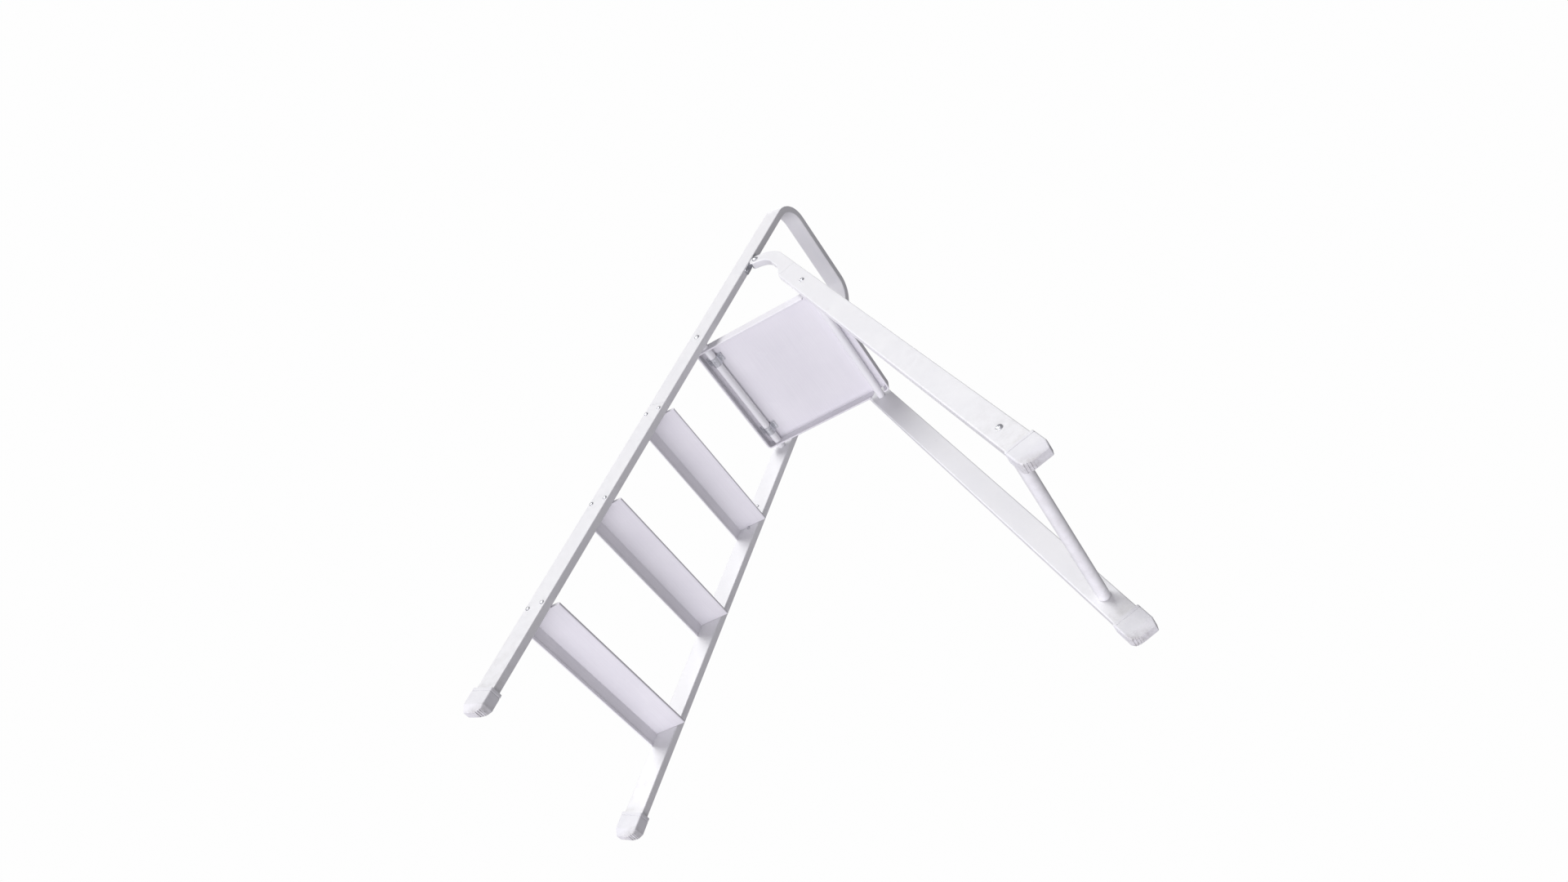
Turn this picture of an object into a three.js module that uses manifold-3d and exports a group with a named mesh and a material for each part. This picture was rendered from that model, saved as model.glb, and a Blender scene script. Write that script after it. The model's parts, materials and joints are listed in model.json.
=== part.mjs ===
// Folding platform step ladder with a handrail hoop.
//
// Millimetres, +Z up, +X to the climber's right, +Y from the treads towards the rear legs.
// The origin is on the floor, halfway between the front and the rear feet.
// The front frame stands still, the rear frame folds towards it on two pivot bolts, and the
// platform tilts up on its front tube.

import * as THREE from 'three';
import { mergeVertices } from 'three/addons/utils/BufferGeometryUtils.js';
import Module from 'manifold-3d';

const wasm = await Module();
wasm.setup();

// ---------------------------------------------------------------- driving dimensions

const DEGREE = Math.PI / 180;
const GAP = 0.3; // between pieces that touch
const SIDES = [['left', -1], ['right', 1]];

const LEG_SLOPE = 22.5 * DEGREE; // of both frames, from upright
const LEG_DEPTH = 50; // flat-sided tube, fore and aft
const LEG_WIDTH = 18; // flat-sided tube, across
const LEG_WALL = 1.2;
const LEG_CORNER = 2;

const FRONT_FLOOR_Y = -568.67; // where the front face of the stiles meets the floor
const FRONT_HALF_WIDTH = 233.4; // outer face, at floor level
const FRONT_LEAN = 1.878 * DEGREE;
const REAR_FLOOR_Y = 514.63; // where the inner face of the rear legs meets the floor
const REAR_HALF_WIDTH = 228.3;
const REAR_LEAN = 1.656 * DEGREE;

const SEAM = 817; // stile length at which the handrail hoop begins
const HOOP_TOP = 1639;
const HOOP_BEND = 60; // inner radius
const HOOP_SPIGOT_LENGTH = 120;
const HOOP_SPIGOT_WALL = 1.5;

const TREAD_UNDERSIDES = [219, 469, 719];
const TREAD_THICK = 7;
const TREAD_OVERHANG = 19.3; // behind the stiles
const TREAD_LIP = 26; // below the underside
const TREAD_LIP_THICK = 2;
const TREAD_WALL = 1.5;
const SCREW_PORT = 4.8; // square channel in the tread, for a self-tapping screw
const PORT_FORWARD = 9;
const PORT_REAR = 43;
const TREAD_MAT = { depth: 58, forward: 6, sideMargin: 8, base: 1.2, rib: 1, pitch: 6.4 };

const FOOT_DEPTH = 56;
const FOOT_WIDTH = 27;
const FOOT_BEVEL = 14;
const FOOT_BEVEL_INSET = 6;
const FRONT_FOOT = { rim: 64.4, height: 49.5 };
const REAR_FOOT = { rim: 48, height: 53.7 };
const FOOT_POCKET = 30;

const PAN_HALF_WIDTH = 165;
const PAN_FRONT = -171;
const PAN_REAR = 176;
const PAN_UNDERSIDE = 969;
const PAN_SHEET = 2;
const PAN_LIP = 27; // below the underside
const PAN_CORNER = 10;
const PLATFORM_MAT = { inset: 7, base: 2.6, rib: 1.8, pitch: 11 };

// How far ahead of the rear tube's axis the side lips stop, at three heights, and how far
// behind it the opening ends.
const NOTCH = { top: 10.7, middle: 12.7, bottom: 22.7, behind: 15 };

const CLIP = { x: 120, halfLength: 12, sheet: 1.6, flange: 9 };

const TUBE_RADIUS = 9.5;
const TUBE_WALL = 1.2;
const TUBE_Z = 959;
const CROSSBAR_RADIUS = 12;
const CROSSBAR_S = 108.8; // along the rear legs, from the floor
const SWAGED_END = 22; // length of the thick end that takes a screw
const SWAGE_TAPER = 5;

const ARM_DEPTH = 34;
const ARM_WALL = 1.6;
const ARM_START = 1137; // along the rear legs, where the leg ends and the arm begins
const ARM_TAPER_END = 1187;
const ARM_BEND_START = 1240;
const ARM_BEND = 70; // inner radius
const ARM_BEND_ANGLE = 55.3 * DEGREE; // up to the pivot
const ARM_SPIGOT = 50;
const ARM_PLUG_OVERLAP = 4; // of the spigot into the arm above it
const ARM_OPEN_END = 30; // the bore runs on past the pivot, so that the tongue can enter
const PIVOT_RADIUS = 4;
const LUG_THICK = 10;
const LUG_NECK = 9; // half height
const LUG_PLATE = { width: 15, thick: 2, length: 74 };
const LUG_RIVET_OFFSETS = [['lower', -29], ['upper', 29]]; // up the plate, from the pivot
const SEAM_SCREW_OFFSETS = [['lower', -34], ['upper', 34]]; // up the stile, from the seam
const NUT = { radius: 7, height: 3.6 };

const BEYOND = 400; // reaches past the whole ladder's width, for cutters
const OVERCUT = 1; // how far a cutter stands out of the face that it opens

// ---------------------------------------------------------------- solids and booleans

function toSolid(geometry) {
  const plain = geometry.clone();
  plain.deleteAttribute('normal');
  plain.deleteAttribute('uv');
  const merged = mergeVertices(plain, 1e-4);
  const index = merged.index.array;
  const kept = [];
  for (let i = 0; i < index.length; i += 3) {
    const [a, b, c] = [index[i], index[i + 1], index[i + 2]];
    if (a !== b && b !== c && c !== a) kept.push(a, b, c);
  }
  return new wasm.Manifold(new wasm.Mesh({
    numProp: 3,
    vertProperties: new Float32Array(merged.attributes.position.array),
    triVerts: new Uint32Array(kept),
  }));
}

function toGeometry(solid) {
  const mesh = solid.getMesh();
  const geometry = new THREE.BufferGeometry();
  geometry.setAttribute('position', new THREE.BufferAttribute(mesh.vertProperties, 3));
  geometry.setIndex(new THREE.BufferAttribute(mesh.triVerts, 1));
  geometry.computeVertexNormals();
  return geometry;
}

function join(first, ...others) {
  return toGeometry(others.reduce((solid, other) => solid.add(toSolid(other)), toSolid(first)));
}

function cut(first, ...cutters) {
  return toGeometry(cutters.reduce((solid, cutter) => solid.subtract(toSolid(cutter)), toSolid(first)));
}

// Cuts a piece that is drawn in a leaning frame with cutters that are drawn in the ladder's own.
function cutInPlace(geometry, frame, ...cutters) {
  const placed = geometry.clone().applyMatrix4(frame.matrixWorld);
  return cut(placed, ...cutters).applyMatrix4(frame.matrixWorld.clone().invert());
}

// ---------------------------------------------------------------- basic forms

function polygon(points) {
  return new THREE.Shape(points.map(([u, v]) => new THREE.Vector2(u, v)));
}

function roundedRectangle(width, height, radius, path = new THREE.Shape()) {
  const x = width / 2 - radius;
  const y = height / 2 - radius;
  path.absarc(x, y, radius, 0, Math.PI / 2);
  path.absarc(-x, y, radius, Math.PI / 2, Math.PI);
  path.absarc(-x, -y, radius, Math.PI, 1.5 * Math.PI);
  path.absarc(x, -y, radius, 1.5 * Math.PI, 2 * Math.PI);
  return path;
}

// Where two curves of an outline meet, only one of the two coincident points is kept.
function distinct(points) {
  return points.filter((point, i) => point.distanceTo(points.at(i - 1)) > 1e-4);
}

function extrude(outline, depth, curveSegments = 3) {
  const { shape, holes } = outline.extractPoints(curveSegments);
  const plain = new THREE.Shape(distinct(shape));
  plain.holes = holes.map((hole) => new THREE.Path(distinct(hole)));
  return new THREE.ExtrudeGeometry(plain, { depth, bevelEnabled: false });
}

// An outline in (y, z), extruded along X from x0 to x1.
function extrudeAcross(shape, x0, x1, curveSegments = 10) {
  const turn = new THREE.Matrix4().makeBasis(
    new THREE.Vector3(0, 1, 0), new THREE.Vector3(0, 0, 1), new THREE.Vector3(1, 0, 0));
  return extrude(shape, x1 - x0, curveSegments).applyMatrix4(turn).translate(x0, 0, 0);
}

// An outline in (x, z), extruded along Y from y0 to y1.
function extrudeDeep(shape, y0, y1, curveSegments = 12) {
  const turn = new THREE.Matrix4().makeBasis(
    new THREE.Vector3(1, 0, 0), new THREE.Vector3(0, 0, 1), new THREE.Vector3(0, -1, 0));
  return extrude(shape, y1 - y0, curveSegments).applyMatrix4(turn).translate(0, y1, 0);
}

function box(x0, x1, y0, y1, z0, z1) {
  return new THREE.BoxGeometry(x1 - x0, y1 - y0, z1 - z0)
    .translate((x0 + x1) / 2, (y0 + y1) / 2, (z0 + z1) / 2);
}

function rodAcross(radius, x0, x1, y, z, segments = 16) {
  return new THREE.CylinderGeometry(radius, radius, Math.abs(x1 - x0), segments)
    .rotateZ(-Math.PI / 2)
    .translate((x0 + x1) / 2, y, z);
}

// A profile of [radius, height] points, turned about Z.
function turned(profile, segments = 12) {
  const points = profile.map(([r, h]) => new THREE.Vector2(r, h));
  return new THREE.LatheGeometry(points, segments).rotateX(Math.PI / 2);
}

function flatTube(length, wall = LEG_WALL, width = LEG_WIDTH, depth = LEG_DEPTH) {
  const section = roundedRectangle(width, depth, LEG_CORNER);
  const bore = roundedRectangle(width - 2 * wall, depth - 2 * wall, LEG_CORNER - wall / 2, new THREE.Path());
  section.holes.push(bore);
  return extrude(section, length);
}

// A screw or rivet on its own axis, head at z = 0 and above, shank below.
function fastener(shankRadius, shankLength, headRadius, headHeight) {
  return turned([
    [0, -shankLength],
    [shankRadius, -shankLength],
    [shankRadius, 0],
    [headRadius, 0],
    [headRadius, headHeight * 0.4],
    [headRadius * 0.72, headHeight * 0.85],
    [0, headHeight],
  ]);
}

// ---------------------------------------------------------------- frames

// Inside each frame X is across, Y is the depth through the tube and Z runs up the tube.
const ladder = new THREE.Group();

function addGroup(parent, position, rotation) {
  const group = new THREE.Group();
  group.position.set(...position);
  group.rotation.set(...rotation);
  parent.add(group);
  group.updateWorldMatrix(true, false);
  return group;
}

const frontPlane = addGroup(ladder, [0, FRONT_FLOOR_Y, 0], [-LEG_SLOPE, 0, 0]);
const rearPlane = addGroup(ladder, [0, REAR_FLOOR_Y, 0], [LEG_SLOPE, 0, 0]);
const frontLegs = {};
const rearLegs = {};
for (const [name, side] of SIDES) {
  frontLegs[name] = addGroup(frontPlane, [side * FRONT_HALF_WIDTH, 0, 0], [0, -side * FRONT_LEAN, 0]);
  rearLegs[name] = addGroup(rearPlane, [side * REAR_HALF_WIDTH, 0, 0], [0, -side * REAR_LEAN, 0]);
}

const toLadder = (frame, x, y, z) => new THREE.Vector3(x, y, z).applyMatrix4(frame.matrixWorld);

const frontFaceY = (z) => FRONT_FLOOR_Y + z * Math.tan(LEG_SLOPE);
const frontFaceX = (side, y, z) => {
  const along = (y - FRONT_FLOOR_Y) * Math.sin(LEG_SLOPE) + z * Math.cos(LEG_SLOPE);
  return side * (FRONT_HALF_WIDTH - along * Math.tan(FRONT_LEAN));
};
const rearFaceX = (side, y, z) => {
  const along = (REAR_FLOOR_Y - y) * Math.sin(LEG_SLOPE) + z * Math.cos(LEG_SLOPE);
  return side * (REAR_HALF_WIDTH - along * Math.tan(REAR_LEAN));
};

// Points that both frames share: the pivot of the rear frame and the two platform tubes.
const armBendCentre = { y: LEG_DEPTH - ARM_DEPTH - ARM_BEND, z: ARM_BEND_START };
const armMiddleBend = ARM_BEND + ARM_DEPTH / 2;
const armPivot = {
  y: armBendCentre.y + armMiddleBend * Math.cos(ARM_BEND_ANGLE),
  z: armBendCentre.z + armMiddleBend * Math.sin(ARM_BEND_ANGLE),
};
const pivot = toLadder(rearPlane, 0, armPivot.y, armPivot.z);

function pointInLeg(plane, height) {
  const foot = toLadder(plane, 0, LEG_DEPTH / 2, 0);
  const up = toLadder(plane, 0, LEG_DEPTH / 2, 1).sub(foot);
  return foot.addScaledVector(up, (height - foot.z) / up.z);
}
const pivotTubeAt = pointInLeg(frontPlane, TUBE_Z);
const rearTubeAt = pointInLeg(rearPlane, TUBE_Z);
const crossbarAt = toLadder(rearPlane, 0, LEG_DEPTH / 2, CROSSBAR_S);

// ---------------------------------------------------------------- materials

function finish(colour, roughness, metalness) {
  return { colour, roughness, metalness };
}
const WHITE_STEEL = finish(0xf4f4f6, 0.4, 0.1);
const TREAD_METAL = finish(0xe6e4eb, 0.45, 0.1);
const GRIP_RUBBER = finish(0x9e9ca3, 0.85, 0);
const FOOT_PLASTIC = finish(0xecebf0, 0.55, 0);
const ZINC = finish(0xb8bac0, 0.35, 0.9);

function place(parent, name, geometry, look, position = [0, 0, 0]) {
  const material = new THREE.MeshStandardMaterial({
    color: look.colour, roughness: look.roughness, metalness: look.metalness,
  });
  const mesh = new THREE.Mesh(geometry, material);
  mesh.name = name;
  mesh.position.set(...position);
  parent.add(mesh);
}

// A fastener that is driven inwards along X, with its head on the outer face at x.
function placeFastener(name, geometry, side, x, y, z) {
  const inwards = geometry.clone().rotateY(side * Math.PI / 2);
  place(ladder, name, inwards, ZINC, [x, y, z]);
}

// ---------------------------------------------------------------- fixings

const TREAD_SCREW = { shank: 2.1, length: LEG_WIDTH + 24, head: 4.6, height: 2.4 };
const TUBE_SCREW = { shank: 3, length: LEG_WIDTH + 18, head: 6.5, height: 3 };
const SEAM_SCREW = { shank: 2, length: 5, head: 4, height: 1.8 };
const ARM_SCREW = { shank: 2, length: 5, head: 4, height: 1.8 };
const LUG_RIVET = { shank: 2, length: 5, head: 4, height: 1.6 };
const PIVOT_BOLT = { shank: PIVOT_RADIUS, length: LEG_WIDTH + 4.5, head: 8, height: 3.4 };
const HOLE_PLAY = 0.4; // radial

// Screw places as [name, y, z] on the side faces, for both sides alike.
const treadScrewsAt = TREAD_UNDERSIDES.flatMap((underside, i) => {
  const z = underside + TREAD_THICK / 2;
  const front = frontFaceY(underside + TREAD_THICK);
  return [
    [`tread_${i + 1}_screw_front`, front + PORT_FORWARD, z],
    [`tread_${i + 1}_screw_rear`, front + PORT_REAR, z],
  ];
});
const seamScrewsAt = SEAM_SCREW_OFFSETS.map(([label, offset]) => {
  const at = toLadder(frontPlane, 0, LEG_DEPTH / 2, SEAM + offset);
  return [`seam_screw_${label}`, at.y, at.z];
});
const armScrewAt = toLadder(rearPlane, 0, LEG_DEPTH / 2, ARM_START - ARM_SPIGOT / 2);

const HOLE_FACETS = 12;

// Holes through everything on one side of the ladder.
function holesAcross(places, radius, side) {
  return places.map(([, y, z]) => rodAcross(radius, 0, side * BEYOND, y, z, HOLE_FACETS));
}

// A hole in the inner wall only, from the middle plane to the middle of the tube at middleX.
function holeFromInside(radius, middleX, y, z) {
  return rodAcross(radius, 0, middleX, y, z, HOLE_FACETS);
}

// ---------------------------------------------------------------- front frame

function makeStile(name, side) {
  const start = FRONT_FOOT.rim - FOOT_POCKET;
  const tube = flatTube(SEAM - start).translate(-side * LEG_WIDTH / 2, LEG_DEPTH / 2, start);
  const [, y, z] = seamScrewsAt[0];
  const middle = frontFaceX(side, y, z) - side * LEG_WIDTH / 2;
  const drilled = cutInPlace(
    tube, frontLegs[name],
    ...holesAcross(treadScrewsAt, TREAD_SCREW.shank + HOLE_PLAY, side),
    holeFromInside(SEAM_SCREW.shank + HOLE_PLAY, middle, y, z));
  place(frontLegs[name], `stile_${name}`, drilled, WHITE_STEEL);
}

// The inverted U of the hoop in (x, z) of the front plane, its walls moved in by inset.
function hoopOutline(inset, start) {
  const leg = (side, along, inward) => new THREE.Vector2(
    side * (FRONT_HALF_WIDTH - along * Math.sin(FRONT_LEAN) - inward * Math.cos(FRONT_LEAN)),
    along * Math.cos(FRONT_LEAN) - inward * Math.sin(FRONT_LEAN));
  const outerBend = HOOP_BEND + LEG_WIDTH - inset;
  const innerBend = HOOP_BEND + inset;
  const centreZ = HOOP_TOP - HOOP_BEND - LEG_WIDTH;
  const centreX = FRONT_HALF_WIDTH - centreZ * Math.tan(FRONT_LEAN)
    - (HOOP_BEND + LEG_WIDTH) / Math.cos(FRONT_LEAN);
  const outline = new THREE.Shape();
  outline.moveTo(...leg(1, start, inset).toArray());
  outline.absarc(centreX, centreZ, outerBend, FRONT_LEAN, Math.PI / 2);
  outline.absarc(-centreX, centreZ, outerBend, Math.PI / 2, Math.PI - FRONT_LEAN);
  outline.lineTo(...leg(-1, start, inset).toArray());
  outline.lineTo(...leg(-1, start, LEG_WIDTH - inset).toArray());
  outline.absarc(-centreX, centreZ, innerBend, Math.PI - FRONT_LEAN, Math.PI / 2, true);
  outline.absarc(centreX, centreZ, innerBend, Math.PI / 2, FRONT_LEAN, true);
  outline.lineTo(...leg(1, start, LEG_WIDTH - inset).toArray());
  return outline;
}

function makeHoop() {
  const outside = extrudeDeep(hoopOutline(0, SEAM + GAP), 0, LEG_DEPTH);
  const inside = extrudeDeep(
    hoopOutline(LEG_WALL, SEAM - OVERCUT), LEG_WALL, LEG_DEPTH - LEG_WALL);
  const hollow = cut(outside, inside);
  const [, seamY, seamZ] = seamScrewsAt[1];
  const holes = SIDES.flatMap(([, side]) => [
    holeFromInside(SEAM_SCREW.shank + HOLE_PLAY,
      frontFaceX(side, seamY, seamZ) - side * LEG_WIDTH / 2, seamY, seamZ),
    ...holesAcross([['', pivotTubeAt.y, pivotTubeAt.z]], TUBE_SCREW.shank + HOLE_PLAY, side),
  ]);
  const rivetHoles = SIDES.flatMap(
    ([, side]) => LUG_RIVET_OFFSETS.map(([, offset]) => lugRivetHole(side, offset)));
  place(frontPlane, 'handrail_hoop', cutInPlace(hollow, frontPlane, ...holes, ...rivetHoles), WHITE_STEEL);
}

function makeHoopSpigot(name, side) {
  const clearance = LEG_WALL + GAP;
  const [width, depth] = [LEG_WIDTH - 2 * clearance, LEG_DEPTH - 2 * clearance];
  const tube = flatTube(HOOP_SPIGOT_LENGTH, HOOP_SPIGOT_WALL, width, depth)
    .translate(-side * LEG_WIDTH / 2, LEG_DEPTH / 2, SEAM - HOOP_SPIGOT_LENGTH / 2);
  const holes = seamScrewsAt.map(([, y, z]) => holeFromInside(
    SEAM_SCREW.shank + GAP, frontFaceX(side, y, z) - side * LEG_WIDTH / 2, y, z));
  holes.push(...holesAcross(treadScrewsAt, TREAD_SCREW.shank + HOLE_PLAY, side));
  place(frontLegs[name], `hoop_spigot_${name}`, cutInPlace(tube, frontLegs[name], ...holes), ZINC);
}

function makeSeamScrews(name, side) {
  const screw = fastener(SEAM_SCREW.shank, SEAM_SCREW.length, SEAM_SCREW.head, SEAM_SCREW.height);
  for (const [label, y, z] of seamScrewsAt) {
    const innerFace = frontFaceX(side, y, z) - side * (LEG_WIDTH / Math.cos(FRONT_LEAN) + 2 * GAP);
    placeFastener(`${label}_${name}`, screw, -side, innerFace, y, z);
  }
}

// The space of a leg and everything outside it, to trim what ends at the leg's inner face.
function outsideOf(frame, side) {
  const inner = -side * (LEG_WIDTH + GAP);
  const outer = side * BEYOND;
  return box(Math.min(inner, outer), Math.max(inner, outer), -BEYOND, BEYOND, 0, HOOP_TOP)
    .applyMatrix4(frame.matrixWorld);
}
const outsideFront = SIDES.map(([name, side]) => outsideOf(frontLegs[name], side));
const outsideRear = SIDES.map(([name, side]) => outsideOf(rearLegs[name], side));

// One hollow section: a flat deck with two screw ports and a cell, and a lip down its front.
function makeTread(number, underside) {
  const top = underside + TREAD_THICK;
  const slope = Math.tan(LEG_SLOPE);
  const lipBottom = -(TREAD_THICK + TREAD_LIP);
  const lipThick = TREAD_LIP_THICK / Math.cos(LEG_SLOPE);
  const rear = LEG_DEPTH / Math.cos(LEG_SLOPE) + TREAD_OVERHANG - TREAD_THICK * slope;
  const section = polygon([
    [0, 0],
    [lipBottom * slope, lipBottom],
    [lipBottom * slope + lipThick, lipBottom],
    [-TREAD_THICK * slope + lipThick, -TREAD_THICK],
    [rear, -TREAD_THICK],
    [rear, 0],
  ]);
  const channel = (y0, y1, height) => box(
    -BEYOND, BEYOND, y0, y1, -(TREAD_THICK + height) / 2, -(TREAD_THICK - height) / 2);
  const halfPort = SCREW_PORT / 2;
  const channels = [
    channel(PORT_FORWARD - halfPort, PORT_FORWARD + halfPort, SCREW_PORT),
    channel(PORT_FORWARD + halfPort + TREAD_WALL, PORT_REAR - halfPort - TREAD_WALL,
      TREAD_THICK - 2 * TREAD_WALL),
    channel(PORT_REAR - halfPort, PORT_REAR + halfPort, SCREW_PORT),
  ];
  const plank = cut(extrudeAcross(section, -FRONT_HALF_WIDTH, FRONT_HALF_WIDTH), ...channels)
    .translate(0, frontFaceY(top), top);
  place(ladder, `tread_${number}`, cut(plank, ...outsideFront), TREAD_METAL);
}

// A flat mat with ribs along X; the profile is a comb in (y, z).
function ribbedMat(length, halfWidth, base, ribHeight, pitch) {
  const points = [[0, 0], [length, 0]];
  const ribs = Math.floor(length / pitch);
  const land = (length - (ribs - 0.5) * pitch) / 2;
  for (let i = ribs - 1; i >= 0; i -= 1) {
    const y = land + i * pitch;
    points.push([y + pitch / 2, base], [y + pitch / 2, base + ribHeight], [y, base + ribHeight], [y, base]);
  }
  points.splice(2, 0, [length, base]);
  points.push([0, base]);
  return extrudeAcross(polygon(points), -halfWidth, halfWidth);
}

function makeTreadMat(number, underside) {
  const top = underside + TREAD_THICK;
  const { depth, forward, sideMargin, base, rib, pitch } = TREAD_MAT;
  const rearY = frontFaceY(top) + LEG_DEPTH;
  const halfWidth = frontFaceX(1, rearY, top) - LEG_WIDTH - sideMargin;
  const mat = ribbedMat(depth, halfWidth, base, rib, pitch);
  place(ladder, `tread_mat_${number}`, mat, GRIP_RUBBER, [0, frontFaceY(top) + forward, top + GAP]);
}

function makeTreadScrews(name, side) {
  const screw = fastener(TREAD_SCREW.shank, TREAD_SCREW.length, TREAD_SCREW.head, TREAD_SCREW.height);
  for (const [label, y, z] of treadScrewsAt) {
    placeFastener(`${label}_${name}`, screw, side, frontFaceX(side, y, z) + side * 2 * GAP, y, z);
  }
}

// A moulded boot with a bevelled end, cut level with the floor.
function makeFoot(name, side, label, frame, { rim, height }) {
  const [x, y] = [FOOT_WIDTH / 2, FOOT_DEPTH / 2];
  const long = new THREE.ExtrudeGeometry(polygon([[-x, -y], [x, -y], [x, y], [-x, y]]), {
    depth: 2 * height,
    bevelEnabled: true,
    bevelSegments: 1,
    bevelThickness: FOOT_BEVEL,
    bevelSize: FOOT_BEVEL_INSET,
    bevelOffset: -FOOT_BEVEL_INSET,
  }).translate(0, 0, FOOT_BEVEL);
  const above = box(-FOOT_DEPTH, FOOT_DEPTH, -FOOT_DEPTH, FOOT_DEPTH, height, 4 * height);
  const pocket = box(
    -(LEG_WIDTH / 2 + GAP), LEG_WIDTH / 2 + GAP, -(LEG_DEPTH / 2 + GAP), LEG_DEPTH / 2 + GAP,
    height - FOOT_POCKET - GAP, height + OVERCUT);
  const boot = cut(long, above, pocket).translate(-side * LEG_WIDTH / 2, LEG_DEPTH / 2, rim - height);
  const floor = box(-BEYOND, BEYOND, 2 * FRONT_FLOOR_Y, 2 * REAR_FLOOR_Y, -rim, 0);
  place(frame, `${label}_foot_${name}`, cutInPlace(boot, frame, floor), FOOT_PLASTIC);
}

// A round tube whose ends are swaged thick, so that a screw holds in them.
function swagedTube(radius, halfLength) {
  const boreRadius = radius - TUBE_WALL;
  const endRadius = TUBE_SCREW.shank + GAP;
  const inner = halfLength - SWAGED_END;
  return turned([
    [radius, -halfLength],
    [radius, halfLength],
    [endRadius, halfLength],
    [endRadius, inner],
    [boreRadius, inner - SWAGE_TAPER],
    [boreRadius, -inner + SWAGE_TAPER],
    [endRadius, -inner],
    [endRadius, -halfLength],
    [radius, -halfLength],
  ], 24).rotateY(Math.PI / 2);
}

function makeTube(name, radius, at, faceX, trims) {
  const halfLength = faceX(1, at.y, at.z) - LEG_WIDTH + 2 * OVERCUT;
  const tube = swagedTube(radius, halfLength).translate(0, at.y, at.z);
  place(ladder, name, cut(tube, ...trims), WHITE_STEEL);
}

function makeTubeScrews(label, at, faceX) {
  const screw = fastener(TUBE_SCREW.shank, TUBE_SCREW.length, TUBE_SCREW.head, TUBE_SCREW.height);
  for (const [name, side] of SIDES) {
    placeFastener(`${label}_${name}`, screw, side, faceX(side, at.y, at.z) + side * 2 * GAP, at.y, at.z);
  }
}

// ---------------------------------------------------------------- hinges

const pivotInFront = pivot.clone().applyMatrix4(frontPlane.matrixWorld.clone().invert());
const lugX = (side) => frontFaceX(side, pivot.y, pivot.z) - side * LEG_WIDTH / 2;

// The hole of one rivet in the front plane, through plate and rear wall.
function rivetHoleInPlane(x, offset) {
  const radius = LUG_RIVET.shank + GAP;
  return new THREE.CylinderGeometry(radius, radius, LEG_DEPTH / 2, HOLE_FACETS)
    .translate(x, LEG_DEPTH, pivotInFront.z + offset);
}
const lugRivetHole = (side, offset) => rivetHoleInPlane(lugX(side), offset)
  .applyMatrix4(frontPlane.matrixWorld);

// A plate on the back of the stile with a tongue that stands inside the hollow arm.
function makeHingeLug(name, side) {
  const face = LEG_DEPTH + GAP;
  const reach = pivotInFront.y;
  const height = pivotInFront.z;
  const plate = box(
    -LUG_PLATE.width / 2, LUG_PLATE.width / 2, face, face + LUG_PLATE.thick,
    height - LUG_PLATE.length / 2, height + LUG_PLATE.length / 2);
  const outline = new THREE.Shape();
  outline.moveTo(face + OVERCUT, height - LUG_NECK);
  outline.absarc(reach, height, LUG_NECK, -Math.PI / 2, Math.PI / 2);
  outline.lineTo(face + OVERCUT, height + LUG_NECK);
  const eye = new THREE.Path();
  eye.absarc(reach, height, PIVOT_RADIUS + GAP, 0, 2 * Math.PI);
  outline.holes.push(eye);
  const tongue = extrudeAcross(outline, -LUG_THICK / 2, LUG_THICK / 2);
  const holes = LUG_RIVET_OFFSETS.map(([, offset]) => rivetHoleInPlane(0, offset));
  const lug = cut(join(plate, tongue), ...holes);
  place(frontPlane, `hinge_lug_${name}`, lug, ZINC, [lugX(side), 0, 0]);
}

function makeLugRivets(name, side) {
  const rivet = fastener(LUG_RIVET.shank, LUG_RIVET.length, LUG_RIVET.head, LUG_RIVET.height)
    .rotateX(-Math.PI / 2);
  const face = LEG_DEPTH + 2 * GAP + LUG_PLATE.thick;
  for (const [label, offset] of LUG_RIVET_OFFSETS) {
    place(frontPlane, `lug_rivet_${label}_${name}`, rivet.clone(), ZINC,
      [lugX(side), face, pivotInFront.z + offset]);
  }
}

function makePivotBolt(name, side) {
  const outer = rearFaceX(side, pivot.y, pivot.z);
  const inner = outer - side * LEG_WIDTH;
  const bolt = fastener(
    PIVOT_BOLT.shank, PIVOT_BOLT.length, PIVOT_BOLT.head, PIVOT_BOLT.height);
  placeFastener(`pivot_bolt_${name}`, bolt, side, outer + side * 2 * GAP, pivot.y, pivot.z);
  const hexagon = new THREE.Shape();
  for (let i = 0; i < 6; i += 1) {
    const angle = i * Math.PI / 3;
    hexagon[i ? 'lineTo' : 'moveTo'](NUT.radius * Math.cos(angle), NUT.radius * Math.sin(angle));
  }
  const hole = new THREE.Path();
  hole.absarc(0, 0, PIVOT_RADIUS + GAP, 0, 2 * Math.PI);
  hexagon.holes.push(hole);
  const nut = extrude(hexagon, NUT.height, HOLE_FACETS).rotateY(-side * Math.PI / 2);
  place(ladder, `pivot_nut_${name}`, nut, ZINC, [inner - side * 2 * GAP, pivot.y, pivot.z]);
}

// ---------------------------------------------------------------- rear frame

function makeRearLeg(name, side) {
  const start = REAR_FOOT.rim - FOOT_POCKET;
  const tube = flatTube(ARM_START - start).translate(-side * LEG_WIDTH / 2, LEG_DEPTH / 2, start);
  const middle = rearFaceX(side, armScrewAt.y, armScrewAt.z) - side * LEG_WIDTH / 2;
  const tubeHoles = [['', rearTubeAt.y, rearTubeAt.z], ['', crossbarAt.y, crossbarAt.z]];
  const drilled = cutInPlace(
    tube, rearLegs[name],
    ...holesAcross(tubeHoles, TUBE_SCREW.shank + HOLE_PLAY, side),
    holeFromInside(ARM_SCREW.shank + HOLE_PLAY, middle, armScrewAt.y, armScrewAt.z));
  place(rearLegs[name], `rear_leg_${name}`, drilled, WHITE_STEEL);
}

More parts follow.
